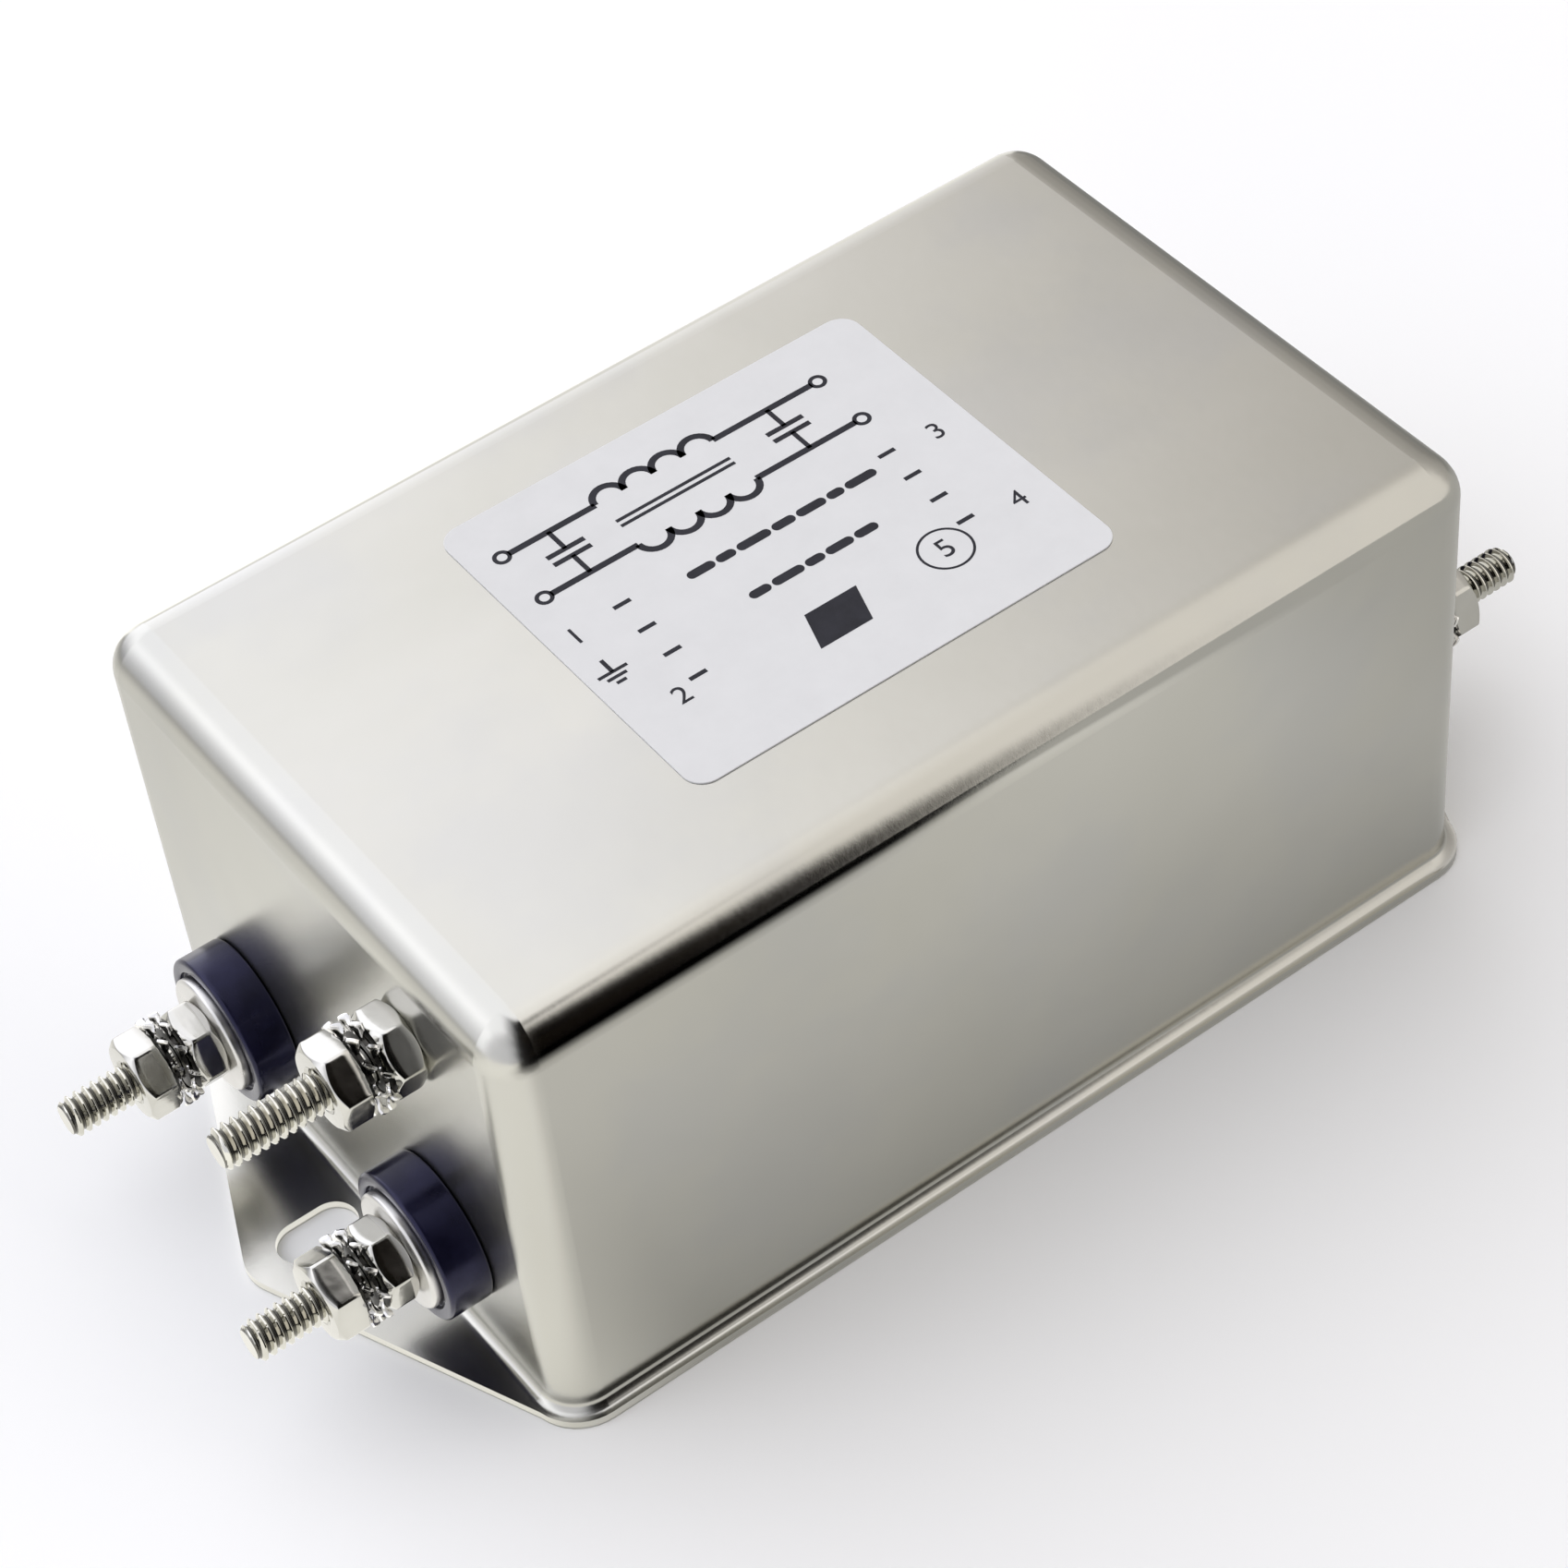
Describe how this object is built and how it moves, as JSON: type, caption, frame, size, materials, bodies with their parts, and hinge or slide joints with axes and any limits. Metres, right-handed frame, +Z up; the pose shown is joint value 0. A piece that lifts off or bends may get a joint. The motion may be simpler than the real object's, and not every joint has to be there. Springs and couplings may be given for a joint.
{
  "type": "mains line filter",
  "caption": "Single-phase mains filter in a drawn steel can with slotted ears, insulated screw terminals at both ends and an earth stud at the line end.",
  "frame": {"origin": "centre of the mounting plane, the underside of the flange and ears", "axes": "+X from the line end (three studs) to the load end (two studs), +Z up out of the mounting plane, +Y towards the live conductor side"},
  "size_m": [0.1306, 0.0602, 0.0459],
  "materials": {
    "can_plating": "satin nickel plate on drawn steel",
    "plate_steel": "satin plated sheet",
    "label_film": "matt white film with dark print",
    "bushing_moulding": "moulded thermoset, dull gloss",
    "stud_plating": "bright plated, rolled thread",
    "nut_plating": "bright nickel plate",
    "washer_plating": "bright plated",
    "tinned_brass": "tinned",
    "board_laminate": "phenolic laminate",
    "ferrite": "dark sintered ferrite",
    "magnet_wire": "enamelled copper",
    "choke_base_moulding": "moulded",
    "capacitor_case": "moulded case, resin filled",
    "capacitor_coating": "dipped coating",
    "resistor_body": "lacquered",
    "liner_sheet": "pressed insulating paper",
    "sealing_resin": "cast resin"
  },
  "bodies": {
    "root": {"base_plate": "plate_steel", "bleed_resistor": "resistor_body", "can": "can_plating", "circuit_board": "board_laminate", "clamp_nuts": "nut_plating", "contact_washers": "washer_plating", "earth_strap": "tinned_brass", "inner_bushing_line_l": "bushing_moulding", "inner_bushing_line_n": "bushing_moulding", "inner_bushing_load_l": "bushing_moulding", "inner_bushing_load_n": "bushing_moulding", "insulating_liner": "liner_sheet", "line_bushing_l": "bushing_moulding", "line_bushing_n": "bushing_moulding", "line_choke_base": "choke_base_moulding", "line_choke_core": "ferrite", "line_choke_winding_a": "magnet_wire", "line_choke_winding_b": "magnet_wire", "load_bushing_l": "bushing_moulding", "load_bushing_n": "bushing_moulding", "load_choke_base": "choke_base_moulding", "load_choke_core": "ferrite", "load_choke_winding_a": "magnet_wire", "load_choke_winding_b": "magnet_wire", "lock_washers": "washer_plating", "rating_label": "label_film", "sealing_compound": "sealing_resin", "stud_earth": "stud_plating", "stud_line_l": "stud_plating", "stud_line_n": "stud_plating", "stud_load_l": "stud_plating", "stud_load_n": "stud_plating", "tab_line_l": "tinned_brass", "tab_line_n": "tinned_brass", "tab_load_l": "tinned_brass", "tab_load_n": "tinned_brass", "terminal_nuts": "nut_plating", "x_capacitor_line": "capacitor_case", "x_capacitor_load": "capacitor_case", "x_capacitor_mid": "capacitor_case", "y_capacitor_l": "capacitor_coating", "y_capacitor_n": "capacitor_coating"}
  },
  "joints": []
}
